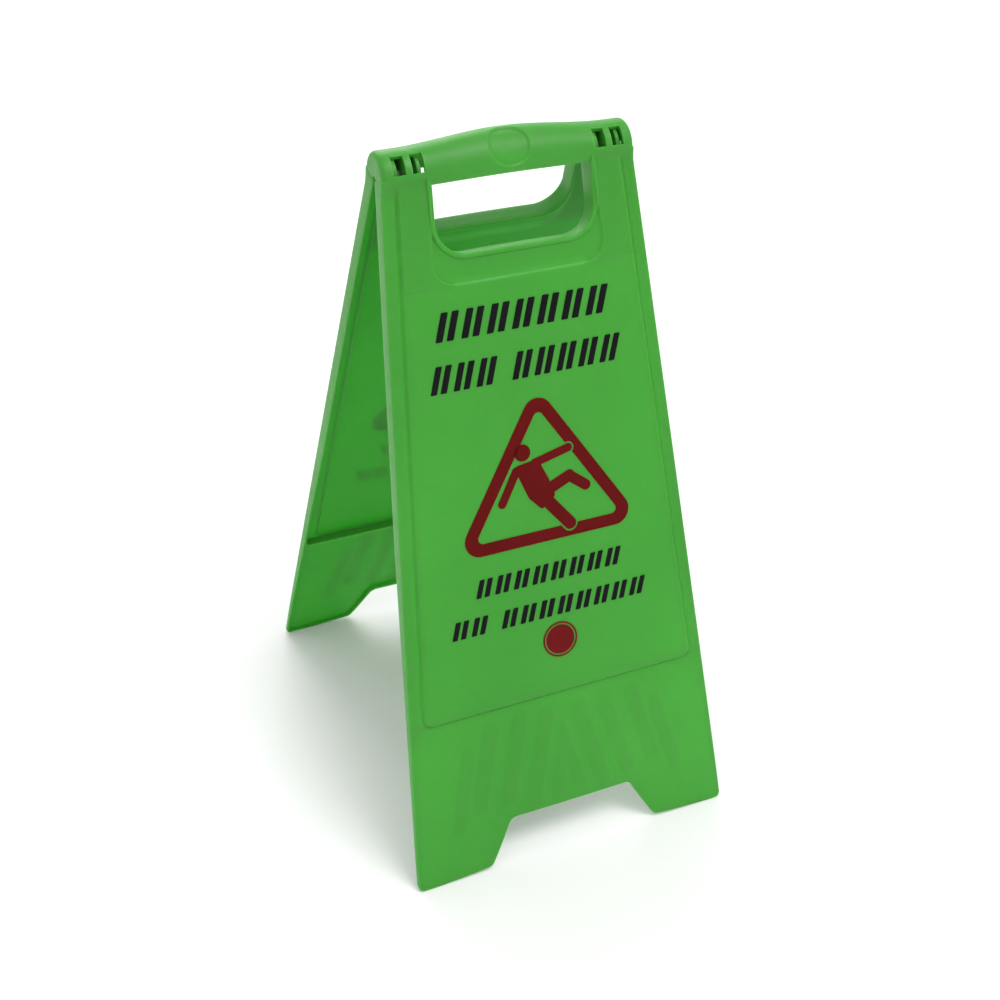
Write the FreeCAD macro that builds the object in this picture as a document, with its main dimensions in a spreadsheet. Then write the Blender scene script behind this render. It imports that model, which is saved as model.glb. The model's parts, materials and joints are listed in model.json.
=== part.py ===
"""Folding wet floor sign: two tray-shaped panels hinged at a hollow handle bar, standing open as an A."""
import FreeCAD, Part
import math
import os

doc = FreeCAD.newDocument("wet_floor_sign")
SIZES = {
    # overall
    "leg_length": 596.0,       # hinge axis to the floor, along a panel
    "foot_width": 300.0,       # width of a panel at the floor
    "top_width": 212.0,        # width of a panel at the hinge axis
    "stance_deg": 17.35,       # lean of each panel when the sign stands open
    "panel_depth": 17.0,       # mid-plane of the folded sign to a panel's outer face
    "mid_gap": 0.4,            # rim edge to that mid-plane
    # moulded walls
    "skin": 2.2,
    "wall": 2.5,
    "plateau_rise": 1.6,       # message face above the border
    "border": 12.5,
    "apron": 146.0,            # from the plateau's lower edge to the floor
    "rib": 2.2,
    "taper_start": 300.0,      # the rim gets shallower from here to the foot
    "foot_depth": 6.0,
    # hand-grip opening, under the bar
    "grip_half": 67.3,
    "grip_bottom": 65.0,
    "grip_radius": 24.0,
    # arch between the feet
    "arch_rise": 39.0,         # floor to the top of the arch
    "arch_half": 58.0,
    "foot_inner": 80.0,
    "foot_flat": 18.0,         # part of a foot that meets the floor
    "foot_rise": 3.0,          # how much the sole climbs from there to the arch
    # handle bar and hinge
    "bar_radius": 19.5,
    "bar_crown": 6.0,
    "bar_wall": 3.5,
    "bar_low": 10.8,           # lower edge of the bar, below the hinge axis
    "cover_end_deg": 100.65,   # the front cover wraps round to here
    "stop_gap": 0.3,           # between the cover and the rear half bar
    "pin_radius": 3.0,
    "pin_run": 0.05,           # running clearance of a lug on its pin
    "swing_gap": 0.6,          # lug or web to the inside of the other half
    "web": 5.2,
    "web_at": 84.0,            # centre of the web that carries a pin
    "lug": 3.2,
    "outer_lug_gap": 5.6,      # web face to the lug on its outer side
    "inner_lug_gap": 5.0,
    "pin_head": 1.2,
    "end_relief": 1.2,         # hole at the axis that keeps the two halves' end walls apart
    "window": 10.1,
    "window_top_deg": 47.0,
    "end_step": 0.5,           # end walls stand this much inside the bar's surface
    # printed film
    "film": 0.25,
    # cutting blocks and joined blanks
    "stock": 20.0,             # length of a blank beyond the floor, trimmed off
    "spare": 3.0,              # how far a cutting block runs past what it cuts
    "reach": 60.0,             # a block that passes right through
    "sink": 1.0,               # how far a blank runs into the one it joins
    "hair": 0.01,
}
sheet = doc.addObject("Spreadsheet::Sheet", "Sizes")
for row, (alias, value) in enumerate(SIZES.items(), start=1):
    sheet.set(f"A{row}", alias)
    sheet.set(f"B{row}", str(value))
    sheet.setAlias(f"B{row}", alias)
doc.recompute()


def size(alias):
    """The number in the sheet's cell of that name."""
    return float(getattr(sheet, alias))


def tie(obj, name, text):
    """Set one property to an expression in which each alias stands in braces."""
    obj.setExpression(name, text.replace("{", "Sizes.").replace("}", ""))


def bind(obj, **sizes):
    """Tie an object's properties to the sheet."""
    for name, text in sizes.items():
        tie(obj, name, text)
    return obj


def shift(obj, x="0", y="0", z="0", turn=None):
    """Place an object inside its panel, with its base point tied to the sheet."""
    if turn is not None:
        obj.Placement = FreeCAD.Placement(FreeCAD.Vector(), turn)
    for axis, text in (("x", x), ("y", y), ("z", z)):
        tie(obj, f"Placement.Base.{axis}", text)
    return obj


def slab(name, start, end, half_start, half_end, low, high, low_end=None, high_end=None):
    """A plate across the panel: half_start wide at v = start, half_end at v = end, between two depths."""
    obj = doc.addObject("Part::Wedge", name)
    return bind(obj, Ymin=start, Ymax=end, Xmin=f"-({half_start})", Xmax=half_start,
                X2min=f"-({half_end})", X2max=half_end, Zmin=low, Zmax=high,
                Z2min=low_end or low, Z2max=high_end or high)


def along_x(first_deg=0.0):
    """Rotation that lays a cylinder along the hinge axis, its first face at that angle from outwards."""
    about_axis = FreeCAD.Rotation(FreeCAD.Vector(0, 0, 1), first_deg + 180)
    return FreeCAD.Rotation(FreeCAD.Vector(0, 1, 0), 90).multiply(about_axis)


def rod(name, radius, start, length, first_deg=0.0, last_deg=360.0):
    """A round or a sector of one about the hinge axis, from u = start."""
    obj = doc.addObject("Part::Cylinder", name)
    bind(obj, Radius=radius, Height=length)
    obj.Angle = last_deg - first_deg
    return shift(obj, x=start, turn=along_x(first_deg))


def fuse(name, *shapes):
    obj = doc.addObject("Part::MultiFuse", name)
    obj.Shapes = list(shapes)
    obj.Refine = True
    return obj


def cut(name, base, tool):
    obj = doc.addObject("Part::Cut", name)
    obj.Base = base
    obj.Tool = tool
    obj.Refine = True
    return obj


def common(name, *shapes):
    obj = doc.addObject("Part::MultiCommon", name)
    obj.Shapes = list(shapes)
    return obj


# Each panel is drawn in its own frame, origin at the middle of the hinge axis: x across, y down the
# panel, z outwards. half_at gives the panel's half width at a distance v down from the axis.
STANCE = math.radians(size("stance_deg"))
HINGE_HEIGHT = size("leg_length") * math.cos(STANCE)
END = "({leg_length} + {stock})"
PLATEAU_END = "({leg_length} - {apron})"
ARCH_TOP = "({leg_length} - {arch_rise})"
SLOPE = "(({foot_width} - {top_width}) / 2 / {leg_length})"
FACE = "({panel_depth} - {plateau_rise})"
LID = "({bar_radius} - {bar_wall})"
THROUGH = "{panel_depth} + {spare}"
FLOOR_TURN = FreeCAD.Rotation(FreeCAD.Vector(1, 0, 0), -size("stance_deg"))


def half_at(v, inset="0"):
    return f"({{top_width}} / 2 + {SLOPE} * ({v}) - ({inset}))"


def grip(name, grow, low, high):
    """The hand-grip opening, or the block that leaves its collar: a plate with two round lower corners."""
    half = f"({{grip_half}} + {grow})"
    end = f"({{grip_bottom}} + {grow})"
    radius = f"({{grip_radius}} + {grow})"
    upper = slab(name + "_upper", "0", f"{end} - {radius}", half, half, low, high)
    floor_half = f"{half} - {radius}"
    lower = slab(name + "_lower", f"{end} - {radius}", end, floor_half, floor_half, low, high)
    pieces = [upper, lower]
    for side, sign in (("left", "-"), ("right", "")):
        corner = doc.addObject("Part::Cylinder", f"{name}_{side}_corner")
        bind(corner, Radius=radius, Height=f"({high}) - ({low})")
        pieces.append(shift(corner, x=f"{sign}({half} - {radius})", y=f"{end} - {radius}", z=low))
    return fuse(name, *pieces)


def tray(who):
    """The panel below the bar: skin, plateau, rim walls, collar round the opening, rib and feet."""
    blank = slab(who + "_blank", "0", END, half_at("0"), half_at(END), "{mid_gap}", FACE)
    plateau = slab(who + "_plateau", "0", PLATEAU_END, half_at("0", "{border}"),
                   half_at(PLATEAU_END, "{border}"), f"{FACE} - {{sink}}", "{panel_depth}")
    outer = fuse(who + "_outer", blank, plateau)
    bay = slab(who + "_bay", "-{spare}", END, half_at("-{spare}", "{wall}"), half_at(END, "{wall}"),
               "-{spare}", f"{FACE} - {{skin}}")
    recess_end = f"({PLATEAU_END} - {{wall}})"
    recess = slab(who + "_recess", "-{spare}", recess_end, half_at("-{spare}", "{border} + {wall}"),
                  half_at(recess_end, "{border} + {wall}"), f"{FACE} - {{skin}} - {{sink}}",
                  "{panel_depth} - {skin}")
    hollow = fuse(who + "_hollow", bay, recess)
    collar = grip(who + "_collar", "{wall}", "-{spare}", "{panel_depth}")
    slope = "(({foot_inner} - {arch_half}) / {arch_rise})"
    skew = f"sqrt(1 + {slope} * {slope})"
    arch_end = f"({{foot_inner}} + {slope} * {{stock}})"
    arch_wall = slab(who + "_arch_wall", f"{ARCH_TOP} - {{wall}}", END,
                     f"{{arch_half}} + {{wall}} * ({skew} - {slope})", f"{arch_end} + {{wall}} * {skew}",
                     "-{spare}", "{panel_depth}")
    rib = slab(who + "_rib", f"{PLATEAU_END} - {{rib}} / 2", f"{PLATEAU_END} + {{rib}} / 2",
               half_at(PLATEAU_END), half_at(PLATEAU_END), "-{spare}", "{panel_depth}")
    sole = slab(who + "_sole_wall", "{leg_length} - {foot_rise} - {wall}", END, half_at(END), half_at(END),
                "-{spare}", "{panel_depth}")
    kept = fuse(who + "_kept", collar, arch_wall, rib, sole)
    shell = cut(who + "_shell", outer, cut(who + "_cavity", hollow, kept))
    arch = slab(who + "_arch", ARCH_TOP, END, "{arch_half}", arch_end, "-{spare}", THROUGH)
    taper = slab(who + "_taper", "{taper_start}", END, "{foot_width}", "{foot_width}",
                 "-{spare}", "{mid_gap}", "-{spare}", "{panel_depth} - {foot_depth}")
    floor = slab(who + "_floor", "0", "{reach}", "{foot_width}", "{foot_width}", "-{reach}", "{reach}")
    shift(floor, y="{leg_length}", turn=FLOOR_TURN)
    trims = [grip(who + "_grip", "0", "-{spare}", THROUGH), arch, taper, floor]
    for side, sign in (("left", -1), ("right", 1)):
        trims.append(sole_cut(f"{who}_{side}_sole", sign))
    return cut(who + "_tray", shell, fuse(who + "_trims", *trims))


def sole_cut(name, sign):
    """The wedge that lifts a foot's sole off the floor, from its flat outer end to the arch."""
    obj = doc.addObject("Part::Wedge", name)
    near, far, mid = "({foot_inner} - {stock})", "({foot_width} / 2 - {foot_flat})", "{foot_inner}"
    if sign > 0:
        bind(obj, Xmin=near, Xmax=mid, X2min=near, X2max=far)
    else:
        bind(obj, Xmin="-" + mid, Xmax="-" + near, X2min="-" + far, X2max="-" + near)
    bind(obj, Ymin="-{foot_rise}", Ymax="{hair}")
    bind(obj, Zmin="-{reach}", Zmax="{reach}", Z2min="-{reach}", Z2max="{reach}")
    return shift(obj, y="{leg_length}", turn=FLOOR_TURN)


def bar(who, last_deg):
    """Half of the handle bar: a crowned round, hollow, cut off below and at its last angle."""
    rings = []
    across = FreeCAD.Rotation(FreeCAD.Vector(0, 1, 0), 90).multiply(
        FreeCAD.Rotation(FreeCAD.Vector(0, 0, 1), 90))
    for tag, place, crown in (("first", "-{top_width} / 2", "0"), ("middle", "0", "{bar_crown}"),
                              ("last", "{top_width} / 2", "0")):
        ring = bind(doc.addObject("Part::Ellipse", f"{who}_{tag}_ring"),
                    MajorRadius=f"{{bar_radius}} + {{hair}} + {crown}", MinorRadius="{bar_radius}")
        rings.append(shift(ring, x=place, turn=across))
    round_bar = doc.addObject("Part::Loft", who + "_round")
    round_bar.Sections = rings
    round_bar.Solid = True
    span = rod(who + "_span", "{bar_radius} * 2", "-{top_width} / 2 - {sink}", "{top_width} + 2 * {sink}",
               -90.0, last_deg)
    half = common(who + "_half", round_bar, span)
    below = slab(who + "_below", "{bar_low}", "{reach}", "{top_width}", "{top_width}", "-{reach}", "{reach}")
    behind = slab(who + "_behind", "0", "{reach}", "{top_width}", "{top_width}", "-{reach}", "{mid_gap}")
    return cut(who + "_bar", half, fuse(who + "_bar_trims", below, behind))


ROOT_DEG, ROOT_SHORT = -28.0, 4.0      # a web or lug joins its half bar between these
END_WALL_DEG = -88.0


def disc(name, start, length, last_deg):
    """A web or lug: a round that clears the other half, grown into its own half of the bar."""
    core = rod(name + "_core", f"{LID} - {{swing_gap}}", start, length)
    root = rod(name + "_root", f"{LID} + {{sink}}", start, length, ROOT_DEG, last_deg - ROOT_SHORT)
    return fuse(name, core, root)


def end_walls(who, last_deg):
    """The two side walls carried up over the ends of the bar."""
    walls = []
    for side, start in (("left", "-{top_width} / 2"), ("right", "{top_width} / 2 - {wall}")):
        walls.append(rod(f"{who}_{side}_end", "{bar_radius} - {end_step}", start, "{wall}",
                         END_WALL_DEG, last_deg))
    return walls


# The front panel carries the cover over the bar, and one web with a pressed-in pin at each end. Two
# windows beside each web are where the mould forms it. The rear panel carries two lugs at each web.
FRONT_END = size("cover_end_deg")
GAP_DEG = math.degrees(size("stop_gap") / size("bar_radius"))
REAR_END = 180 - 2 * size("stance_deg") - FRONT_END - GAP_DEG
LUG_OUT = "({web_at} + {web} / 2 + {outer_lug_gap})"
LUG_IN = "({web_at} - {web} / 2 - {inner_lug_gap} - {lug})"
SIDES = (("left", ""), ("right", "-"))


def start_at(sign, low, length):
    """Where a piece that spans low to low + length from the middle starts, on either side."""
    return low if not sign else f"-({low} + {length})"


def panel(who, last_deg):
    """A tray with its half of the bar, hollowed for the hinge."""
    solid = fuse(who + "_solid", tray(who), bar(who, last_deg))
    bore = rod(who + "_bore", LID, "-({top_width} / 2 - {wall})", "{top_width} - 2 * {wall}")
    mouth = slab(who + "_mouth", "0", "{bar_low} + {hair}", "{grip_half}", "{grip_half}", "-{spare}", LID)
    opened = cut(who + "_opened", solid, fuse(who + "_room", bore, mouth))
    walled = fuse(who + "_walled", opened, *end_walls(who, last_deg))
    relief = rod(who + "_relief", "{end_relief}", "-{top_width}", "{top_width} * 2")
    return cut(who + "_relieved", walled, relief)


front = panel("front", FRONT_END)
rear = panel("rear", REAR_END)
webs, pins, lugs, bores, windows = [], {}, [], [], []
for side, sign in SIDES:
    web_start = start_at(sign, "{web_at} - {web} / 2", "{web}")
    webs.append(disc(f"{side}_web", web_start, "{web}", FRONT_END))
    for tag, low in (("outer", LUG_OUT), ("inner", LUG_IN)):
        lugs.append(disc(f"{side}_{tag}_lug", start_at(sign, low, "{lug}"), "{lug}", REAR_END))
    low = f"({LUG_IN} - {{pin_head}})"
    reach = f"({LUG_OUT} + {{lug}} + {{pin_head}} - {low})"
    pin_start = start_at(sign, low, reach)
    pins[side] = rod(f"{side}_pin", "{pin_radius}", pin_start, reach)
    bores.append(rod(f"{side}_pin_hole", "{pin_radius}", pin_start, reach))
    bores.append(rod(f"{side}_running_hole", "{pin_radius} + {pin_run}", pin_start, reach))
    for tag, low in (("outer", "({web_at} + {web} / 2)"), ("inner", "({web_at} - {web} / 2 - {window})")):
        windows.append(rod(f"{side}_{tag}_window", "{bar_radius} * 2", start_at(sign, low, "{window}"),
                           "{window}", 0.0, size("window_top_deg")))

window_core = rod("window_core", f"{LID} - {{swing_gap}}", "-{top_width}", "{top_width} * 2")
window_ring = cut("window_ring", fuse("window_sectors", *windows), window_core)
front_cover = cut("front_cover", front, window_ring)
front_webbed = fuse("front_webbed", front_cover, *webs)
rear_lugged = fuse("rear_lugged", rear, *lugs)
nodes = {
    "front_panel": cut("front_panel", front_webbed, fuse("front_pin_holes", bores[0], bores[2])),
    "rear_panel": cut("rear_panel", rear_lugged, fuse("rear_pin_holes", bores[1], bores[3])),
    "left_hinge_pin": pins["left"],
    "right_hinge_pin": pins["right"],
}


# Printed film on each message face. Two rows of slanted bars stand above the symbol and two below, a
# bar pair for each printed capital. The artwork is drawn in (across, down) from the hinge axis, for a
# message face of the drawn size, and is scaled to the face that there is.
DRAWN_LENGTH, DRAWN_HALF = 450.0, 93.5
ART = min((size("leg_length") - size("apron")) / DRAWN_LENGTH,
          (size("top_width") / 2 - size("border")) / DRAWN_HALF)
LIFT = FreeCAD.Vector(0, 0, size("film"))


def on_face(x, y):
    """A point of the artwork on the message face."""
    return FreeCAD.Vector(-x * ART, y * ART, size("panel_depth"))


def outline(points, radius):
    """Film within the points' outline, with every corner rounded to the radius."""
    corners = [on_face(x, y) for x, y in points]
    edges, arcs = [], []
    for i, corner in enumerate(corners):
        before = (corners[i - 1] - corner).normalize()
        after = (corners[(i + 1) % len(corners)] - corner).normalize()
        half_turn = before.getAngle(after) / 2
        reach = radius * ART / math.tan(half_turn)
        bisector = (before + after).normalize()
        centre = corner + bisector * (radius * ART / math.sin(half_turn))
        arcs.append((corner + before * reach, centre - bisector * radius * ART, corner + after * reach))
    for i, (first, middle, last) in enumerate(arcs):
        edges.append(Part.Arc(first, middle, last).toShape())
        edges.append(Part.LineSegment(last, arcs[(i + 1) % len(arcs)][0]).toShape())
    return Part.Face(Part.Wire(edges)).extrude(LIFT)


def dot(x, y, radius):
    """A round piece of film."""
    ring = Part.Circle(on_face(x, y), FreeCAD.Vector(0, 0, 1), radius * ART)
    return Part.Face(Part.Wire(ring.toShape())).extrude(LIFT)


ROUND_END = 0.98               # corner radius of a limb over half its width


def capsule(x1, y1, x2, y2, width):
    """A limb: a bar of that width with round ends, from one joint to the next."""
    length = math.hypot(x2 - x1, y2 - y1)
    r = width / 2
    ux, uy = (x2 - x1) / length * r, (y2 - y1) / length * r
    corners = [(x1 - ux - uy, y1 - uy + ux), (x2 + ux - uy, y2 + uy + ux),
               (x2 + ux + uy, y2 + uy - ux), (x1 - ux + uy, y1 - uy - ux)]
    return outline(corners, r * ROUND_END)


WORD_GAP = 0.6                 # space between words over a capital's pitch
PAIR = (0.10, 0.53)            # where a pair's two strokes start, over the pitch
STROKE, LEAN = 0.27, 0.32      # stroke width over pitch, slant over height
STROKE_ROUND = 0.12            # corner radius over stroke width


def bar_row(words, left, right, top, tall):
    """A row of slanted bar pairs, one pair for each capital, with a space between words."""
    pitch = (right - left) / (sum(words) + WORD_GAP * (len(words) - 1))
    lean, stroke = tall * LEAN / 2, pitch * STROKE
    solids, at = [], left
    for word in words:
        for _ in range(word):
            for part in PAIR:
                high, low = at + pitch * part + lean, at + pitch * part - lean
                quad = [(high, top), (high + stroke, top), (low + stroke, top + tall), (low, top + tall)]
                solids.append(outline(quad, stroke * STROKE_ROUND))
            at += pitch
        at += WORD_GAP * pitch
    return solids


def rows(lines):
    """Rows as one group of separate bars; a line gives its words, both ends, its top and its height."""
    solids = []
    for line in lines:
        solids += bar_row(*line)
    return Part.makeCompound(solids)


HEADING = [([7], -77.0, 75.0, 107.5, 22.8), ([3, 5], -86.0, 82.0, 149.0, 22.0)]
FOOTER = [([8], -68.0, 68.0, 332.0, 15.6), ([2, 8], -93.0, 89.0, 363.8, 15.6)]
TRIANGLE_MID, TRIANGLE_TOP, TRIANGLE_END, TRIANGLE_HALF = 2.0, 178.0, 312.2, 86.4
BAND, CORNER, INNER_CORNER = 10.6, 13.5, 4.5
TORSO, TORSO_ROUND = [(-24, 243), (-2, 240), (6, 258), (11, 274), (-2, 284), (-13, 272)], 3.0
HEAD = (-15, 232.5, 7.2)
LEFT_ARM, RIGHT_ARM = (-22, 247, -37, 272, 7.4), (-5, 243, 26, 236, 7.2)
RAISED_THIGH, RAISED_SHIN = (5, 268, 25, 260, 10.2), (25, 260, 39, 271, 9.2)
STANDING_LEG = (3, 277, 22, 301, 11.0)
HALO = 1.5                     # bare line round a limb that crosses the band


def triangle(inset, radius):
    """The symbol's outline, moved inwards by the band."""
    tall, half = TRIANGLE_END - TRIANGLE_TOP, TRIANGLE_HALF
    inscribed = tall * half / (math.hypot(tall, half) + half)
    scale = 1 - inset / inscribed
    middle = TRIANGLE_END - inscribed
    points = [(0, TRIANGLE_TOP), (half, TRIANGLE_END), (-half, TRIANGLE_END)]
    return outline([(TRIANGLE_MID + x * scale, middle + (y - middle) * scale) for x, y in points], radius)


def haloed(x1, y1, x2, y2, width):
    """A limb with the bare line round it."""
    return capsule(x1, y1, x2, y2, width + 2 * HALO)


def symbol():
    """A warning triangle as a band, with a plain figure of a person losing balance."""
    hole = triangle(BAND, INNER_CORNER)
    band = triangle(0, CORNER).cut(hole.multiFuse([haloed(*RIGHT_ARM), haloed(*STANDING_LEG)]))
    limbs = [capsule(*limb) for limb in (LEFT_ARM, RIGHT_ARM, RAISED_THIGH, RAISED_SHIN, STANDING_LEG)]
    body = outline(TORSO, TORSO_ROUND).multiFuse(limbs).removeSplitter()
    head = dot(*HEAD)
    return Part.makeCompound(band.Solids + body.Solids + head.Solids)


SEAL_AT, SEAL_RADIUS = (3.0, 402.0), 16.0
SEAL_RING, SEAL_GAP = 1.6, 1.2


def seal():
    """A round sticker: a disc with a ring round it."""
    ring = dot(*SEAL_AT, SEAL_RADIUS).cut(dot(*SEAL_AT, SEAL_RADIUS - SEAL_RING))
    return Part.makeCompound(ring.Solids + dot(*SEAL_AT, SEAL_RADIUS - SEAL_RING - SEAL_GAP).Solids)


prints = {"heading_print": rows(HEADING), "warning_symbol": symbol(), "footer_print": rows(FOOTER),
          "round_seal": seal()}
for who in ("front", "rear"):
    for name, shape in prints.items():
        film = doc.addObject("Part::Feature", f"{who}_{name}")
        film.Shape = shape
        nodes[f"{who}_{name}"] = film

# Stand the two halves up: the front leans towards -Y, the rear towards +Y, and the feet meet z = 0.
lay = FreeCAD.Rotation(FreeCAD.Vector(1, 0, 0), size("stance_deg") - 90)
hinge = FreeCAD.Vector(0, 0, HINGE_HEIGHT)
rear_place = FreeCAD.Placement(hinge, lay)
front_place = FreeCAD.Placement(hinge, FreeCAD.Rotation(FreeCAD.Vector(0, 0, 1), 180).multiply(lay))
doc.recompute()

for name, obj in nodes.items():
    obj.Label = name
    place = rear_place if name.startswith("rear") else front_place
    if name.endswith("hinge_pin"):
        spot = obj.Placement
        for axis in "xyz":
            obj.setExpression(f"Placement.Base.{axis}", None)
        obj.Placement = place.multiply(spot)
    else:
        obj.Placement = place
doc.recompute()

for obj in doc.Objects:
    if any(word in obj.State for word in ("Invalid", "Error")):
        raise RuntimeError(f"{obj.Name} did not rebuild: {obj.State}")
os.makedirs("parts", exist_ok=True)
for name, obj in nodes.items():
    if obj.Shape.isNull() or not obj.Shape.isValid():
        raise RuntimeError(f"{name} is not a valid shape")
for name, obj in nodes.items():
    obj.Shape.exportStep(f"parts/{name}.step")
    box = obj.Shape.BoundBox
    print(f"{name}: {len(obj.Shape.Solids)} solids, {obj.Shape.Volume / 1000:.1f} cm3, "
          f"x {box.XMin:.1f} {box.XMax:.1f} y {box.YMin:.1f} {box.YMax:.1f} z {box.ZMin:.1f} {box.ZMax:.1f}")
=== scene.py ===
import json
import math

import bmesh
import bpy
import numpy as np
from mathutils import Matrix, Vector
from mathutils.geometry import delaunay_2d_cdt


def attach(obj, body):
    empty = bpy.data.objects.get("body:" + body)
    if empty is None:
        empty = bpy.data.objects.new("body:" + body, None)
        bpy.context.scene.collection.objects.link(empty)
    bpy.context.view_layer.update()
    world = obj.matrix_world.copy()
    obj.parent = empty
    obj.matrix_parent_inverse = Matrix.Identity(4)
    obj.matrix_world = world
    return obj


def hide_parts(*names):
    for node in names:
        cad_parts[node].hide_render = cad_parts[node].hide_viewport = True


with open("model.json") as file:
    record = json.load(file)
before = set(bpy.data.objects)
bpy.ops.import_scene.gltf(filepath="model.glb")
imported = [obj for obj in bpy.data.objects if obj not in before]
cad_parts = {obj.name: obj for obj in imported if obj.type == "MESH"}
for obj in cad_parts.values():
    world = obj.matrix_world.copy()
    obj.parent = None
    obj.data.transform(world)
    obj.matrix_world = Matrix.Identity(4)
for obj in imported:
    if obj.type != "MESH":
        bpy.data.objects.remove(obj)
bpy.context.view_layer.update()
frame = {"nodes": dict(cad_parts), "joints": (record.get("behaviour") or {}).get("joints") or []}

# The stage: a pale floor, a soft light high up on the right, a weak one on the left, a wide one behind
# and an even sky. The camera stands to the left of the sign and looks down at it.
scene = bpy.context.scene
scene.view_settings.view_transform = "Standard"
scene.view_settings.look = "None"

EYE = Vector((-0.461, -1.0065, 0.9948))
YAW, PITCH, ROLL = math.radians(24.889), math.radians(-33.972), math.radians(1.552)
LENS = 53.485

gaze = Vector((math.sin(YAW) * math.cos(PITCH), math.cos(YAW) * math.cos(PITCH), math.sin(PITCH)))
level = gaze.cross(Vector((0, 0, 1))).normalized()
upward = level.cross(gaze)
right = level * math.cos(ROLL) + upward * math.sin(ROLL)
top = upward * math.cos(ROLL) - level * math.sin(ROLL)
camera = bpy.data.objects.new("camera", bpy.data.cameras.new("camera"))
camera.data.lens = LENS
camera.matrix_world = Matrix((
    (right.x, top.x, -gaze.x, EYE.x),
    (right.y, top.y, -gaze.y, EYE.y),
    (right.z, top.z, -gaze.z, EYE.z),
    (0, 0, 0, 1)))
scene.collection.objects.link(camera)
scene.camera = camera


def softbox(name, place, aim, width, watts):
    """A square area light that looks from its place towards aim."""
    lamp = bpy.data.lights.new(name, "AREA")
    lamp.shape, lamp.size, lamp.energy = "SQUARE", width, watts
    obj = bpy.data.objects.new(name, lamp)
    obj.location = place
    obj.rotation_euler = (Vector(aim) - Vector(place)).to_track_quat("-Z", "Y").to_euler()
    scene.collection.objects.link(obj)


softbox("key", (0.55, -1.1, 2.6), (0, 0, 0.3), 1.1, 30)
softbox("fill", (-2.0, -1.2, 1.2), (0, 0, 0.3), 1.6, 2)
softbox("back", (0.3, 2.6, 2.2), (0, 0.2, 0.3), 2.2, 45)

world = bpy.data.worlds.new("sky")
world.use_nodes = True
sky = world.node_tree.nodes["Background"]
sky.inputs["Color"].default_value = (1, 1, 1, 1)
sky.inputs["Strength"].default_value = 0.8
scene.world = world

floor_mesh = bpy.data.meshes.new("floor")
floor_mesh.from_pydata([(-6, -6, 0), (6, -6, 0), (6, 6, 0), (-6, 6, 0)], [], [(0, 1, 2, 3)])
floor = bpy.data.objects.new("floor", floor_mesh)
scene.collection.objects.link(floor)
floor_paint = bpy.data.materials.new("floor_paint")
floor_paint.use_nodes = True
paint = floor_paint.node_tree.nodes["Principled BSDF"]
paint.inputs["Base Color"].default_value = (0.95, 0.95, 0.95, 1)
paint.inputs["Roughness"].default_value = 0.7
floor_mesh.materials.append(floor_paint)

# The two trays: each is one injection moulding in green polypropylene, a thin skin with a rim all
# round, a raised message plateau, a lipped recess round the hand grip and an arch between its feet.
# Millimetres here: across is to the viewer's right, down is from the hinge axis, out is to the face.
HINGE = frame["joints"][0]["pos_m"][2] * 1000
STANCE = math.radians(frame["joints"][0]["range_deg"][1] / 2)
LEG = HINGE / math.cos(STANCE)
DEPTH, MID_GAP = 17.0, 0.4     # the plateau's face and the rim's open edge, from the folding plane
SKIN, WALL = 2.2, 2.5
FACE = DEPTH - 1.6             # border round the plateau
HALF_TOP = 106.0
FLARE = 44.0 / LEG
BORDER, PLATEAU_END = 12.5, 450.0
TAPER_START, TAPER_END, FOOT_DEPTH = 300.0, LEG + 20.0, 6.0
GRIP_HALF, GRIP_BOTTOM, GRIP_ROUND = 67.3, 65.0, 24.0
LIP_WIDTH, LIP_HEIGHT = 4.6, 1.5
RECESS_DROP, RECESS_SLOPE = 1.3, 2.4
DITCH_AT, DITCH_WIDTH, DITCH_DROP = 1.7, 0.9, 0.7
ARCH_TOP, ARCH_HALF, FOOT_INNER = 557.0, 58.0, 80.0
FOOT_FLAT, FOOT_RISE = 18.0, 3.0
TRAY_TOP = 2.5
BAR = 19.5                     # radius of the handle bar
STILE_OUT = DEPTH + 0.7
STILE_END = 88.4
NECK_START, NECK_DELAY = 5.5, 1.52   # where the bar's round ends, and how much later on a lower face
NECK_INNER, NECK_OUTER = 72.6, 104.6
EDGE = 1.7                     # round between the face and the rim
MESH_STEP, LINE_STEP, RELIEF_STEP = 5.0, 3.0, 2.2
BULGE = 0.3                    # each straight side is very slightly bowed outwards

# Plates that widen downwards, as half width, flare, lower end and corner radius.
GRIP = (GRIP_HALF, 0.0, GRIP_BOTTOM, GRIP_ROUND)
PLATEAU = (HALF_TOP - BORDER, FLARE, PLATEAU_END, 9.0)
RECESS = (66.5, 0.1, 88.0, 22.0)


def smooth(t):
    """The smoothstep 3t^2 - 2t^3 of t clamped to 0..1."""
    t = np.clip(t, 0.0, 1.0)
    return t * t * (3 - 2 * t)


def rim_edge(down):
    """Depth of the rim's open edge: the folding plane, then a straight taper to the foot's depth."""
    run = np.clip((down - TAPER_START) / (TAPER_END - TAPER_START), 0, 1)
    return MID_GAP + (DEPTH - FOOT_DEPTH - MID_GAP) * run


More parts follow.
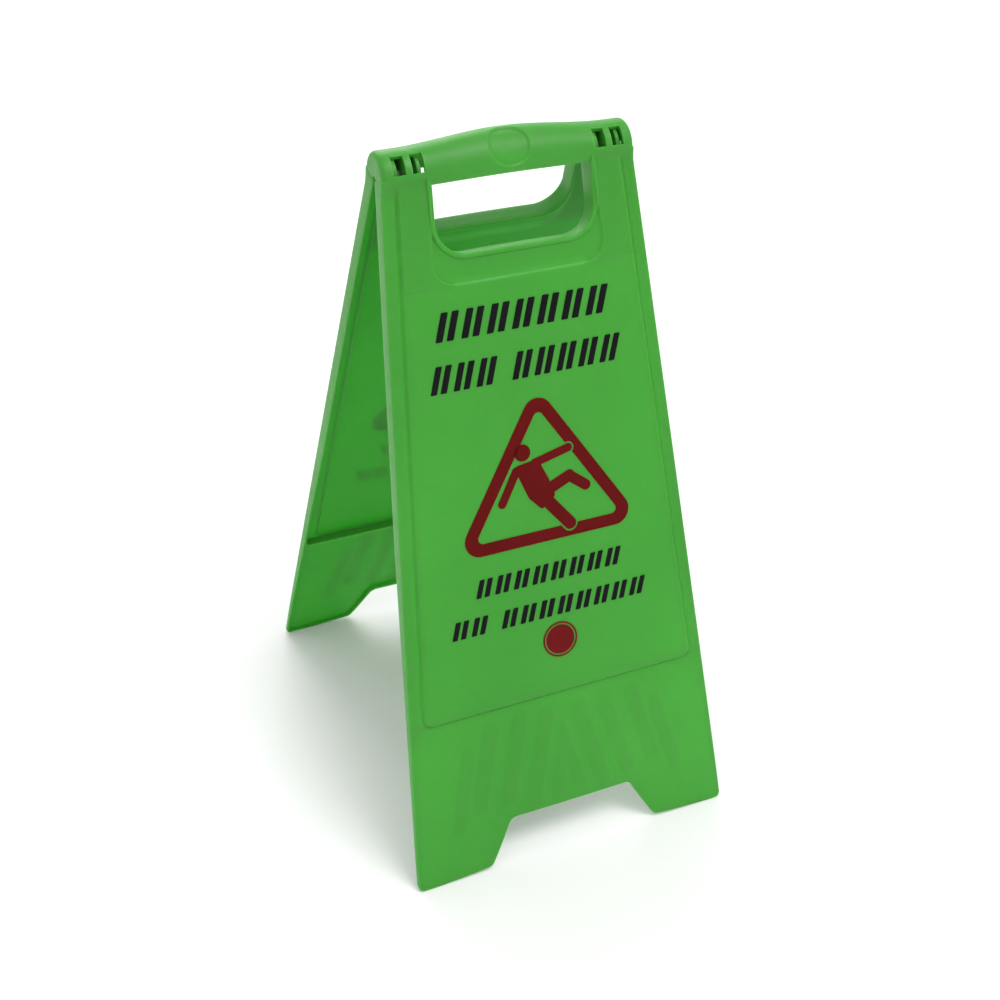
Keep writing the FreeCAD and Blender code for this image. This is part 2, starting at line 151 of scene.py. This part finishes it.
def rounded_loop(corners, inset):
    """A closed outline through (across, down, radius) corners, moved inwards by inset: each corner is an
    arc whose radius shrinks by the inset where it bulges and grows where it is hollow, and each straight
    run is cut into even steps t and bowed outwards by 4 BULGE t (1 - t). Every inset gives the same
    number of points, so loops can be skinned."""
    p = np.array([c[:2] for c in corners], float)
    radius = np.array([c[2] for c in corners], float)
    edge = np.roll(p, -1, 0) - p
    length = np.hypot(*edge.T)
    d = edge / length[:, None]
    inward = np.stack([-d[:, 1], d[:, 0]], 1)
    before = np.roll(d, 1, 0)
    cross = before[:, 0] * d[:, 1] - before[:, 1] * d[:, 0]
    turn = np.arctan2(np.abs(cross), (before * d).sum(1))
    bulge = np.sign(cross)
    shift = (np.roll(inward, 1, 0) + inward) / (1 + (np.roll(inward, 1, 0) * inward).sum(1))[:, None]
    q = p + shift * inset
    r = np.maximum(radius - bulge * inset, 0.25)
    reach = r * np.tan(turn / 2)
    points = []
    for i in range(len(p)):
        steps = np.linspace(0, 1, max(3, int(radius[i] * turn[i] / 1.6) + 3))
        n0, n1 = -bulge[i] * np.roll(inward, 1, 0)[i], -bulge[i] * inward[i]
        centre = q[i] - before[i] * reach[i] - n0 * r[i]
        fan = (np.sin((1 - steps) * turn[i])[:, None] * n0 + np.sin(steps * turn[i])[:, None] * n1)
        points.append(centre + fan / np.sin(turn[i]) * r[i])
        j = (i + 1) % len(p)
        start, end = q[i] + d[i] * reach[i], q[j] - d[i] * reach[j]
        count = max(1, int(length[i] / MESH_STEP))
        along = np.linspace(0, 1, count + 1)[1:-1, None]
        points.append(start + (end - start) * along - inward[i] * BULGE * 4 * along * (1 - along))
    return np.concatenate(points)


def half_width(down):
    """Half the panel's width, which grows evenly towards the feet."""
    return HALF_TOP + FLARE * down


SOLE_EDGE = half_width(LEG) - FOOT_FLAT
TRAY = [
    (-half_width(TRAY_TOP), TRAY_TOP, 1.0), (-GRIP_HALF, TRAY_TOP, 1.0),
    (-GRIP_HALF, GRIP_BOTTOM, GRIP_ROUND), (GRIP_HALF, GRIP_BOTTOM, GRIP_ROUND),
    (GRIP_HALF, TRAY_TOP, 1.0), (half_width(TRAY_TOP), TRAY_TOP, 1.0),
    (half_width(LEG), LEG, 5.0), (SOLE_EDGE, LEG, 6.0), (FOOT_INNER, LEG - FOOT_RISE, 8.0),
    (ARCH_HALF, ARCH_TOP, 9.0), (-ARCH_HALF, ARCH_TOP, 9.0), (-FOOT_INNER, LEG - FOOT_RISE, 8.0),
    (-SOLE_EDGE, LEG, 6.0), (-half_width(LEG), LEG, 5.0)]


def plate_distance(across, down, half, flare, end, radius):
    """Signed distance to a plate that widens downwards: the larger of the distances past its side,
    |across| < half + flare down, and past its end, and near a lower corner the distance to its arc."""
    side = (np.abs(across) - half - flare * down) / math.hypot(1, flare)
    low = down - end
    bent = np.hypot(np.maximum(side + radius, 0), np.maximum(low + radius, 0)) - radius
    return np.where((side > -radius) & (low > -radius), bent, np.maximum(side, low))


def relief(across, down):
    """Low slanted bars near the feet, mirrored about the middle: the largest of several capsules, each
    a soft step in the distance from a line between its foot and its tip."""
    height = np.zeros_like(across)
    for start, foot, tip, width in ((12, 545, 478, 5.5), (34, 545, 472, 7.0), (58, 540, 466, 7.0),
                                    (84, 536, 470, 7.0), (106, 552, 486, 6.0)):
        px, py = np.abs(across) - start, down - foot
        dx, dy = (tip - foot) * 0.252, tip - foot
        along = np.clip((px * dx + py * dy) / (dx * dx + dy * dy), 0, 1)
        away = np.hypot(px - along * dx, py - along * dy) - width
        height = np.maximum(height, 0.6 * smooth(0.5 - away / 2.0))
    return height


def neck(flat, down):
    """Depth of the fillet that runs from the bar's round down to the flat face: the circle as far as the
    point of tangency, then the parabola that leaves it there and is level where it meets the face."""
    leave = NECK_START + (STILE_OUT - flat) * NECK_DELAY
    bar_out = np.sqrt(BAR * BAR - leave * leave)
    drop = bar_out - flat
    run = 2 * drop * bar_out / leave
    curve = flat + drop * np.clip((leave + run - down) / run, 0, 1) ** 2
    on_bar = np.sqrt(np.maximum(BAR * BAR - down * down, 0)) - 0.05
    return np.where(down < leave, on_bar, curve)


def outer_height(across, down):
    """Depth of the outer face, as a sum of soft steps in the distances to its plates: the border, a step
    up to the plateau with a fine ditch at its foot (a Gaussian dip), a step down to the recess round the
    grip, a lip at the grip's edge, stiles a little proud of the message field, and the relief. Beside
    the grip the face is the higher of that sum and the neck up to the bar."""
    past_plateau = plate_distance(across, down, *PLATEAU)
    past_grip = plate_distance(across, down, *GRIP)
    height = FACE + (DEPTH - FACE) * smooth(0.5 - past_plateau / 2.0)
    ditch = (past_plateau - DITCH_AT) / DITCH_WIDTH
    height = height - DITCH_DROP * np.exp(-ditch * ditch)
    sunk = smooth(0.5 - plate_distance(across, down, *RECESS) / RECESS_SLOPE)
    height = height - RECESS_DROP * sunk
    height = height + LIP_HEIGHT * smooth((LIP_WIDTH - past_grip) / 1.2)
    on_stile = smooth((STILE_END - down) / 0.8) * smooth(0.5 - (past_plateau + 1.2) / 1.6)
    height = height + (STILE_OUT - DEPTH) * on_stile * (1 - sunk)
    height = np.maximum(height, neck(height, down) * (past_grip > LIP_WIDTH))
    return height + relief(across, down) * smooth((down - PLATEAU_END - 6) / 6)


def inner_height(across, down):
    """Depth of the inner face: a skin's thickness behind the border, the same steps for the plateau's
    hollow, inside its wall, and the recess, and one thin rib across the tray at the plateau's end."""
    hollow = smooth(0.5 - (plate_distance(across, down, *PLATEAU) + WALL) / 1.8)
    height = FACE - SKIN + (DEPTH - FACE) * hollow
    sunk = smooth(0.5 - plate_distance(across, down, *RECESS) / RECESS_SLOPE)
    height = height - RECESS_DROP * sunk
    rib = smooth((1.9 - np.abs(down - PLATEAU_END)) / 0.8)
    rib = rib * smooth((half_width(down) - np.abs(across)) / 2)
    return height + (rim_edge(down) + 0.6 - height) * rib


def along_curve(lines):
    """Points and edges of open lines, each cut into even steps, as constraints for the mesh."""
    points, edges, count = [], [], 0
    for line in lines:
        line = np.asarray(line, float)
        run = np.concatenate([[0], np.cumsum(np.hypot(*np.diff(line, axis=0).T))])
        at = np.linspace(0, run[-1], max(2, int(run[-1] / LINE_STEP) + 1))
        points.append(np.stack([np.interp(at, run, line[:, 0]), np.interp(at, run, line[:, 1])], 1))
        edges.append(np.stack([np.arange(len(at) - 1), np.arange(1, len(at))], 1) + count)
        count += len(at)
    return np.concatenate(points), np.concatenate(edges)


def plate_line(half, flare, end, radius, offset, start):
    """The lower three sides of a widening plate, moved out by offset, as a line from top left to top
    right with round corners."""
    half, end, radius = half + offset * math.hypot(1, flare), end + offset, radius + offset
    lean = math.atan(flare)
    corner = half + flare * end
    arc = np.linspace(0, 1, 12)[:, None]
    reach = radius * math.tan((math.pi / 2 - lean) / 2)
    side = np.array([corner - reach * math.sin(lean), end - reach * math.cos(lean)])
    foot = np.array([corner - reach, end])
    centre = np.array([corner - reach, end - radius])
    turn = arc * math.pi / 2
    bend = centre + (side - centre) * np.cos(turn) + (foot - centre) * np.sin(turn)
    right_side = np.concatenate([[[half + flare * start, start]], bend])
    return np.concatenate([right_side * (-1, 1), right_side[::-1]])


def inside(points, loop):
    """Even-odd test: how many of the loop's edges lie to the right of each point."""
    x0, y0 = loop.T
    x1, y1 = np.roll(loop, -1, 0).T
    found = np.zeros(len(points), bool)
    for part in np.array_split(np.arange(len(points)), max(1, len(points) // 4000)):
        px, py = points[part, 0][:, None], points[part, 1][:, None]
        spans = (y0 > py) != (y1 > py)
        rise = np.where(y1 == y0, 1e-9, y1 - y0)
        found[part] = (spans & (px < (x1 - x0) * (py - y0) / rise + x0)).sum(1) % 2 == 1
    return found


def spread(points, others, gap):
    """Which points stay clear of all the others by the gap."""
    clear = np.ones(len(points), bool)
    for part in np.array_split(np.arange(len(points)), max(1, len(points) // 1000)):
        apart = points[part][:, None] - others[None]
        clear[part] = (apart ** 2).sum(2).min(1) > gap * gap
    return clear


def triangulate(loop, lines):
    """Points and triangles within a loop, with edges along the given lines and an even field of points
    between them, denser where the relief is, and the number that each of the loop's points now has."""
    curve_points, curve_edges = along_curve(lines)
    keep = inside(curve_points, loop) & spread(curve_points, loop, 0.7)
    number = np.cumsum(keep) - 1
    both = keep[curve_edges].all(1)
    curve_edges = number[curve_edges[both]]
    curve_points = curve_points[keep]
    fields = []
    relief_start = PLATEAU_END + 8
    for step, low, high in ((MESH_STEP, 0, relief_start), (RELIEF_STEP, relief_start, ARCH_TOP),
                            (MESH_STEP, ARCH_TOP, LEG)):
        rows = np.arange(low + step / 2, high, step * 0.866)
        columns = np.arange(-152, 152, step)
        grid = np.stack(np.meshgrid(columns, rows), 2)
        grid[1::2, :, 0] += step / 2
        fields.append(grid.reshape(-1, 2))
    field = np.concatenate(fields)
    field = field[inside(field, loop)]
    fixed = np.concatenate([loop, curve_points])
    dense = (field[:, 1] > relief_start) & (field[:, 1] < ARCH_TOP)
    ok = np.where(dense, spread(field, fixed, 1.2), spread(field, fixed, 2.6))
    points = np.concatenate([fixed, field[ok]])
    ring = np.arange(len(loop))
    edges = np.concatenate([np.stack([ring, np.roll(ring, -1)], 1), curve_edges + len(loop)])
    made = delaunay_2d_cdt([Vector(p) for p in points.tolist()], edges.tolist(), [], 0, 1e-7, True)
    flat = np.array([tuple(v) for v in made[0]])
    source = np.array([ids[0] if ids else -1 for ids in made[3]])
    flat[source >= 0] = points[source[source >= 0]]
    triangles = np.array(made[2])
    triangles = triangles[inside(flat[triangles].mean(1), loop)]
    order = np.full(len(loop), -1)
    known = (source >= 0) & (source < len(loop))
    order[source[known]] = np.nonzero(known)[0]
    return flat, triangles, order


def stitch(rows):
    """Quads between closed rows of points that have the same length."""
    return np.concatenate([np.stack([a, np.roll(a, -1), np.roll(b, -1), b], 1)
                           for a, b in zip(rows[:-1], rows[1:])])


# Lines that the mesh follows, so that each step in a face's height has its own rows of points.
outer_lines = [plate_line(*PLATEAU, offset, TRAY_TOP + 2)
               for offset in (-1.1, -0.5, 0.1, 0.7, 1.2, 1.8, 2.4, 3.2)]
outer_lines += [plate_line(*RECESS, offset, TRAY_TOP + 4) for offset in (-1.3, -0.5, 0.5, 1.3)]
outer_lines += [plate_line(*GRIP, offset, TRAY_TOP + 2) for offset in (3.2, 3.8, 4.5)]
for level_down in (87.2, 88.0, 88.8):
    for side in (-1, 1):
        outer_lines.append([(side * 78.0, level_down), (side * 98.0, level_down)])
for level_down in np.arange(4.0, 17.1, 1.3):
    for side in (-1, 1):
        outer_lines.append([(side * NECK_INNER, level_down), (side * NECK_OUTER, level_down)])
inner_lines = [plate_line(*PLATEAU, offset, TRAY_TOP + 5) for offset in (-WALL - 1.0, -WALL + 1.0)]
rib_half = half_width(PLATEAU_END) - 6
for level_down in (-1.9, -1.1, 1.1, 1.9):
    inner_lines.append([(-rib_half, PLATEAU_END + level_down), (rib_half, PLATEAU_END + level_down)])


def tray_mesh():
    """The whole tray as (across, down, out) points and faces: outer skin, rim carried round the outline
    as a profile of (inset, out) pairs, inner skin. Below the arch's top, down grows by out tan(stance),
    so that the soles lie flat on the floor."""
    outline = rounded_loop(TRAY, 0.0)
    outer_loop = rounded_loop(TRAY, EDGE)
    inner_loop = rounded_loop(TRAY, WALL + 1.0)
    outer, outer_faces, outer_ring = triangulate(outer_loop, outer_lines)
    inner, inner_faces, inner_ring = triangulate(inner_loop, inner_lines)
    outer_out = outer_height(*outer.T)
    inner_out = inner_height(*inner.T)
    crest = outer_out[outer_ring]
    root = inner_out[inner_ring]
    edge = rim_edge(outline[:, 1])
    profile = []
    for angle in (25, 45, 65, 90):
        a = math.radians(angle)
        profile.append((EDGE * (1 - math.sin(a)), crest - EDGE * (1 - math.cos(a))))
    for share in (0.33, 0.66):
        profile.append((0.0, (crest - EDGE) + (edge + 0.6 - crest + EDGE) * share))
    profile += [(0.0, edge + 0.6), (0.18, edge + 0.18), (0.6, edge), (WALL - 0.6, edge),
                (WALL - 0.18, edge + 0.18), (WALL, edge + 0.6), (WALL, (edge + root) / 2),
                (WALL, root - 1.0), (WALL + 0.3, root - 0.3)]
    points = [np.column_stack([outer, outer_out]), np.column_stack([inner, inner_out])]
    rows = [outer_ring]
    start = len(outer) + len(inner)
    for inset, out in profile:
        points.append(np.column_stack([rounded_loop(TRAY, inset), out]))
        rows.append(np.arange(len(outline)) + start)
        start += len(outline)
    rows.append(inner_ring + len(outer))
    points = np.concatenate(points)
    on_foot = np.clip((points[:, 1] - ARCH_TOP) / (LEG - 4 - ARCH_TOP), 0, 1)
    points[:, 1] += on_foot * points[:, 2] * math.tan(STANCE)
    faces = [*outer_faces.tolist(), *(inner_faces + len(outer)).tolist(), *stitch(rows).tolist()]
    return points, faces


# The handle bar and its hinge: each panel's moulding carries half of the hollow bar. The front half
# wraps over the top as a cover with four windows and holds the pins in two webs; the rear half has
# four lugs that turn on the pins.
BORE = 16.0
CROWN, CROWN_END, CROWN_RUN = 6.0, 92.0, 90.0
BELLY = 0.09                   # how much flatter the bar's underside is at the middle
BAR_END_ROUND = 4.0
BAR_LOW = -33.4                # degrees from straight outwards
COVER_END, REAR_END = 100.65, 43.7
WEB_AT, WEB, LUG = 84.0, 5.2, 3.2
OUTER_GAP, INNER_GAP = 5.6, 5.0
WINDOW, WINDOW_TOP = 10.1, 47.0
SWING_GAP, PIN = 0.6, 3.0
THUMB_RADIUS, THUMB_AT, THUMB_DROP = 17.5, 30.0, 1.3
RING_POINTS = 96
windows = [(WEB_AT + WEB / 2, WEB_AT + WEB / 2 + WINDOW), (WEB_AT - WEB / 2 - WINDOW, WEB_AT - WEB / 2)]


def thick_grid(outer, inner, keep):
    """A closed shell from two grids of points: quads where keep is true, on both, and a wall round every
    edge of the kept part."""
    n, m = outer.shape[:2]
    number = np.arange(n * m).reshape(n, m)
    points = np.concatenate([outer.reshape(-1, 3), inner.reshape(-1, 3)])
    a, b = number[:-1, :-1][keep], number[1:, :-1][keep]
    c, d = number[1:, 1:][keep], number[:-1, 1:][keep]
    faces = [np.stack([a, b, c, d], 1), np.stack([d, c, b, a], 1) + n * m]
    framed = np.pad(keep, 1)
    for axis in (0, 1):
        first = framed[:-1, 1:-1] if axis == 0 else framed[1:-1, :-1]
        second = framed[1:, 1:-1] if axis == 0 else framed[1:-1, 1:]
        ends = (number[:, :-1], number[:, 1:]) if axis == 0 else (number[:-1, :], number[1:, :])
        for mask, swap in ((first & ~second, False), (~first & second, True)):
            p, q = ends[0][mask], ends[1][mask]
            p, q = (q, p) if swap == (axis == 0) else (p, q)
            faces.append(np.stack([p, q, q + n * m, p + n * m], 1))
    return points, np.concatenate(faces).tolist()


def around(across, radius, degrees, lift=1.0):
    """(across, -lift r sin a, r cos a) of points about the hinge axis: the angle a runs from straight
    outwards upwards."""
    a = np.radians(degrees)
    return np.stack(np.broadcast_arrays(across, -radius * np.sin(a) * lift, radius * np.cos(a)), -1)


def bar_mesh(last, with_windows):
    """The half bar: a profile along the axis, from the middle of one end wall over its round edge, along
    the bar and back down the other end, turned about the axis. The upper half is stretched upwards by
    CROWN times a smoothstep from near the bar's ends to its middle, and the front one has a round,
    slightly sunk place for the thumb."""
    arc = np.radians(np.linspace(0, 90, 7))
    end_across = np.concatenate([np.full(4, HALF_TOP), HALF_TOP - BAR_END_ROUND * (1 - np.cos(arc))])
    end_radius = np.concatenate([np.linspace(1.2, BAR - BAR_END_ROUND - 2, 4),
                                 BAR - BAR_END_ROUND * (1 - np.sin(arc))])
    bay_across = np.concatenate([np.full(4, HALF_TOP - WALL), np.linspace(HALF_TOP - WALL, 102.0, 7)])
    bay_radius = np.concatenate([np.linspace(1.2, BORE - 2, 4), np.full(7, BORE)])
    bay_radius[4] = BORE - 0.5
    middle = np.concatenate([np.arange(-66, -20, 2.0), np.arange(-20, 20, 0.8), np.arange(20, 67, 2.0)])
    marks = sorted({round(s * w, 3) for pair in windows for w in pair for s in (-1, 1)})
    sides = np.array([x for x in np.arange(-100, 100.1, 2.5) if abs(x) > 67 and
                      min(abs(x - mark) for mark in marks) > 1.2] + marks + list(middle))
    run = np.sort(sides)
    across = np.concatenate([-end_across, run, end_across[::-1]])[:, None]
    radius = np.concatenate([end_radius, np.full(len(run), BAR), end_radius[::-1]])[:, None]
    bay = np.concatenate([-bay_across, run, bay_across[::-1]])[:, None]
    bore = np.concatenate([bay_radius, np.full(len(run), BORE), bay_radius[::-1]])[:, None]
    turns = [BAR_LOW, BAR_LOW + 1.2, *np.linspace(BAR_LOW + 4, -3, 10), 0.0]
    stops = [WINDOW_TOP] if last > WINDOW_TOP + 3 else []
    turns += [x for x in np.arange(3, last - 4, 2.6) if all(abs(x - s) > 1.2 for s in stops)]
    degrees = np.array(sorted(turns + stops + [last - 1.2, last]))[None]
    crown = CROWN * smooth((CROWN_END - np.abs(across)) / CROWN_RUN)
    lift = np.where(degrees > 0, 1 + crown / BAR, 1 - BELLY * crown / CROWN)
    thumb = np.hypot(across, np.radians(degrees - THUMB_AT) * BAR * 1.1)
    dish = THUMB_DROP * smooth((THUMB_RADIUS - thumb) / 2.2) if with_windows else 0 * thumb
    soft = 0.5 * (degrees <= BAR_LOW) + 0.4 * (degrees >= last)
    outer = around(across, radius - dish - soft, degrees, lift)
    inner = around(bay, bore + 0 * degrees, degrees)
    keep = np.ones((outer.shape[0] - 1, outer.shape[1] - 1), bool)
    if with_windows:
        mid_across = (across[:-1, 0] + across[1:, 0]) / 2
        mid_turn = (degrees[0, :-1] + degrees[0, 1:]) / 2
        for low, high in windows:
            inside_across = (np.abs(mid_across) > low) & (np.abs(mid_across) < high)
            keep &= ~np.outer(inside_across, (mid_turn > 0) & (mid_turn < WINDOW_TOP))
    return thick_grid(outer, inner, keep)


def ring_mesh(low, high, last, hole):
    """A web or lug: a flat ring round the hinge axis, grown into the bar where its own half is."""
    degrees = np.linspace(0, 360, RING_POINTS + 1)[:-1]
    turn = (degrees + 90) % 360 - 90
    grown = smooth((turn - BAR_LOW - 4) / 4) * smooth((last - 4 - turn) / 4)
    rim = BORE - SWING_GAP + 1.2 * grown
    section = ((low, hole), (low, rim - 0.5), (low + 0.5, rim), (high - 0.5, rim), (high, rim - 0.5),
               (high, hole))
    points = np.concatenate([around(across, radius, degrees) for across, radius in section])
    numbers = np.arange(len(points)).reshape(len(section), RING_POINTS)
    return points, stitch([*numbers, numbers[0]]).tolist()


# Each panel comes out of its mould as one piece, tray, half bar and webs or lugs run together, in a
# translucent green polypropylene with a fine spark-eroded grain. The two differ only at the hinge.
def placed(points, facing):
    """From (across, down, out) in millimetres to the sign's own frame in metres: the front panel leans
    towards -Y, the rear one towards +Y."""
    across, down, out = points.T
    y = -(down * math.sin(STANCE) + out * math.cos(STANCE))
    z = HINGE - down * math.cos(STANCE) + out * math.sin(STANCE)
    return np.stack([across * facing, y * facing, z], 1) / 1000


def closed_shell(name, points, faces):
    """An object from one closed shell, with its normals outwards."""
    mesh = bpy.data.meshes.new(name)
    mesh.from_pydata(points.tolist(), [], faces)
    work = bmesh.new()
    work.from_mesh(mesh)
    bmesh.ops.remove_doubles(work, verts=work.verts, dist=1e-6)
    bmesh.ops.recalc_face_normals(work, faces=work.faces)
    bmesh.ops.triangulate(work, faces=work.faces)
    bmesh.ops.delete(work, geom=[v for v in work.verts if not v.link_faces], context="VERTS")
    work.to_mesh(mesh)
    work.free()
    obj = bpy.data.objects.new(name, mesh)
    scene.collection.objects.link(obj)
    return obj


def moulding(name, facing, shells):
    """One object from several closed shells, made one skin where they overlap, with smooth faces and
    sharp edges over 32 degrees."""
    blanks = [closed_shell(f"{name}_blank_{i}", placed(points, facing), faces)
              for i, (points, faces) in enumerate(shells)]
    for other in blanks[1:]:
        join = blanks[0].modifiers.new("join", "BOOLEAN")
        join.operation, join.solver, join.object = "UNION", "MANIFOLD", other
    evaluated = blanks[0].evaluated_get(bpy.context.evaluated_depsgraph_get())
    mesh = bpy.data.meshes.new_from_object(evaluated)
    mesh.name = name
    mesh.materials.clear()
    for blank in blanks:
        bpy.data.meshes.remove(blank.data)
    mesh.shade_smooth()
    mesh.set_sharp_from_angle(angle=math.radians(32))
    obj = bpy.data.objects.new(name, mesh)
    scene.collection.objects.link(obj)
    return obj


def nodes_of(name):
    """A new material with its node tree, shader and Object coordinates."""
    material = bpy.data.materials.new(name)
    material.use_nodes = True
    tree = material.node_tree
    return material, tree, tree.nodes["Principled BSDF"], tree.nodes.new("ShaderNodeTexCoord")


def noise(tree, coords, scale, detail=2.0, rough=0.5):
    """A noise pattern on Object coordinates, so scale counts its spots in a metre."""
    node = tree.nodes.new("ShaderNodeTexNoise")
    node.inputs["Scale"].default_value = scale
    node.inputs["Detail"].default_value = detail
    node.inputs["Roughness"].default_value = rough
    tree.links.new(coords.outputs["Object"], node.inputs["Vector"])
    return node


def two_tones(tree, shader, pattern, dark, light, ends=(0.0, 1.0)):
    """Base colour that runs from dark to light as the pattern runs between its ends."""
    blend = tree.nodes.new("ShaderNodeValToRGB")
    for stop, position, tone in zip(blend.color_ramp.elements, ends, (dark, light)):
        stop.position, stop.color = position, (*tone, 1)
    tree.links.new(pattern.outputs["Fac"], blend.inputs["Fac"])
    tree.links.new(blend.outputs["Color"], shader.inputs["Base Color"])


def rough_between(tree, shader, pattern, low, high):
    """Roughness that follows the pattern, with its middle stretched to the range."""
    node = tree.nodes.new("ShaderNodeMapRange")
    node.inputs["From Min"].default_value, node.inputs["From Max"].default_value = 0.3, 0.7
    node.inputs["To Min"].default_value, node.inputs["To Max"].default_value = low, high
    tree.links.new(pattern.outputs["Fac"], node.inputs["Value"])
    tree.links.new(node.outputs["Result"], shader.inputs["Roughness"])


def bumps(tree, shader, pattern, strength, metres):
    """Fine bumps that follow the pattern."""
    bump = tree.nodes.new("ShaderNodeBump")
    bump.inputs["Strength"].default_value = strength
    bump.inputs["Distance"].default_value = metres
    tree.links.new(pattern.outputs["Fac"], bump.inputs["Height"])
    tree.links.new(bump.outputs["Normal"], shader.inputs["Normal"])


def green_polypropylene():
    """Translucent moulded polypropylene: slow colour drift, a fine spark-eroded grain, light scuffs."""
    material, tree, shader, coords = nodes_of("green_polypropylene")
    drift = noise(tree, coords, 6.0, 3.0)
    two_tones(tree, shader, drift, (0.046, 0.272, 0.026), (0.058, 0.312, 0.033), (0.3, 0.7))
    scuff = noise(tree, coords, 90.0, 4.0, 0.6)
    rough_between(tree, shader, scuff, 0.36, 0.50)
    grain = noise(tree, coords, 1400.0)
    bumps(tree, shader, grain, 0.18, 0.00012)
    shader.inputs["IOR"].default_value = 1.49
    shader.inputs["Specular IOR Level"].default_value = 0.3
    shader.inputs["Subsurface Weight"].default_value = 1.0
    shader.inputs["Subsurface Radius"].default_value = (0.35, 1.0, 0.25)
    shader.inputs["Subsurface Scale"].default_value = 0.009
    return material


GREEN = green_polypropylene()
tray = tray_mesh()
front_shells = [tray, bar_mesh(COVER_END, True)]
rear_shells = [tray, bar_mesh(REAR_END, False)]
for side in (-1, 1):
    web = sorted((side * (WEB_AT - WEB / 2), side * (WEB_AT + WEB / 2)))
    front_shells.append(ring_mesh(*web, COVER_END, PIN))
    for low in (WEB_AT + WEB / 2 + OUTER_GAP, WEB_AT - WEB / 2 - INNER_GAP - LUG):
        lug = sorted((side * low, side * (low + LUG)))
        rear_shells.append(ring_mesh(*lug, REAR_END, PIN + 0.05))

for who, facing, shells in (("front", 1, front_shells), ("rear", -1, rear_shells)):
    shell = moulding(f"{who}_moulding", facing, shells)
    shell.data.materials.append(GREEN)
    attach(shell, who)
    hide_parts(f"{who}_panel")


# The hinge pins: short lengths of milky natural nylon rod, cut off and pressed into the webs.
def milky_nylon():
    """Natural nylon: small cloudy spots in its colour and gloss, and some light let in."""
    material, tree, shader, coords = nodes_of("milky_nylon")
    cloud = noise(tree, coords, 300.0)
    two_tones(tree, shader, cloud, (0.60, 0.62, 0.52), (0.78, 0.78, 0.70))
    rough_between(tree, shader, cloud, 0.35, 0.5)
    shader.inputs["Subsurface Weight"].default_value = 0.5
    shader.inputs["Subsurface Scale"].default_value = 0.002
    return material


NYLON = milky_nylon()


def finish_node(node, material):
    """Gives a CAD node a material of its own."""
    mesh = frame["nodes"][node].data
    mesh.materials.clear()
    mesh.materials.append(material)


for side in ("left", "right"):
    finish_node(f"{side}_hinge_pin", NYLON)


# The print: screen-printed ink straight onto the plateau, black for the rows and red for the symbol,
# and one round vinyl sticker.
def ink(name, dark, light, low_rough, high_rough):
    """A thin layer of ink or vinyl: slow patches in its colour and gloss, and fine marks."""
    material, tree, shader, coords = nodes_of(name)
    patch = noise(tree, coords, 40.0, 3.0)
    two_tones(tree, shader, patch, dark, light)
    screen_marks = noise(tree, coords, 1800.0, 1.0)
    bumps(tree, shader, screen_marks, 0.12, 0.0001)
    rough_between(tree, shader, patch, low_rough, high_rough)
    shader.inputs["Specular IOR Level"].default_value = 0.08
    return material


BLACK = ink("black_ink", (0.003, 0.003, 0.004), (0.008, 0.008, 0.009), 0.42, 0.55)
RED = ink("red_ink", (0.090, 0.002, 0.002), (0.130, 0.004, 0.004), 0.42, 0.55)
VINYL = ink("red_vinyl", (0.110, 0.003, 0.004), (0.160, 0.006, 0.008), 0.25, 0.35)
for who in ("front", "rear"):
    finish_node(f"{who}_heading_print", BLACK)
    finish_node(f"{who}_footer_print", BLACK)
    finish_node(f"{who}_warning_symbol", RED)
    finish_node(f"{who}_round_seal", VINYL)
